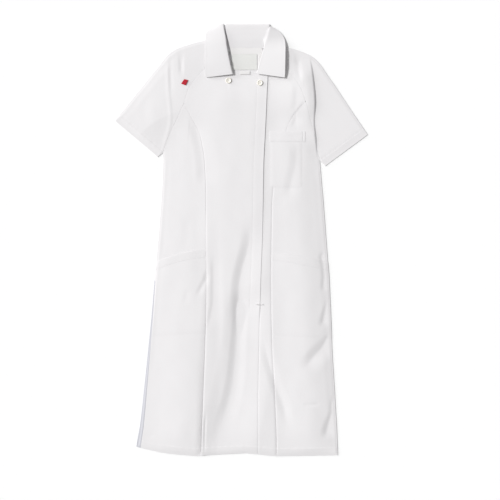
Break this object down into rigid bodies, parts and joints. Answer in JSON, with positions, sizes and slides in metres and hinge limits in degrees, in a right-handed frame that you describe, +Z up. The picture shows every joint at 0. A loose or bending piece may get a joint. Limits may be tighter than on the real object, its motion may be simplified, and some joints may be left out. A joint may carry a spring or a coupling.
{
  "type": "nurse uniform dress",
  "caption": "White short-sleeved raglan nurse dress laid flat, with an open shirt collar, concealed off-centre front opening, princess seams and patch pockets.",
  "frame": {"origin": "on the surface it lies on, under the middle of the laid-out dress", "axes": "+X towards the right sleeve as seen from the front, +Y from the hem to the collar, +Z up out of the front"},
  "size_m": [0.6575, 1.1243, 0.0181],
  "materials": {
    "white_twill": "fine matt polyester twill, white, with matching topstitching",
    "lilac_tricot": "smooth knit, very pale lilac grey",
    "tape_white": "woven white tape",
    "label_grey": "satin woven label, pale grey, blank",
    "tab_red": "tight woven folded tab, deep red, blank",
    "button_pearl": "glossy moulded polyester, warm white",
    "thread_white": "dense satin bar of white thread"
  },
  "bodies": {
    "root": {"back_body": "white_twill", "sleeve_back_left": "white_twill", "sleeve_back_right": "white_twill", "side_front_left": "white_twill", "side_front_right": "white_twill", "centre_front_left": "white_twill", "centre_front_right": "white_twill", "fly_strip": "white_twill", "sleeve_front_left": "white_twill", "sleeve_front_right": "white_twill", "waist_pocket_left": "white_twill", "waist_band_left": "white_twill", "waist_pocket_right": "white_twill", "waist_band_right": "white_twill", "chest_pocket": "white_twill", "chest_band": "white_twill", "pen_strip": "white_twill", "collar_leaf_left": "white_twill", "collar_leaf_right": "white_twill", "collar_back": "white_twill", "side_strip_left": "lilac_tricot", "neck_tape": "tape_white", "size_tab": "tape_white", "neck_label": "label_grey", "red_tab": "tab_red", "button_left": "button_pearl", "button_right": "button_pearl", "bar_tack": "thread_white"}
  },
  "joints": []
}
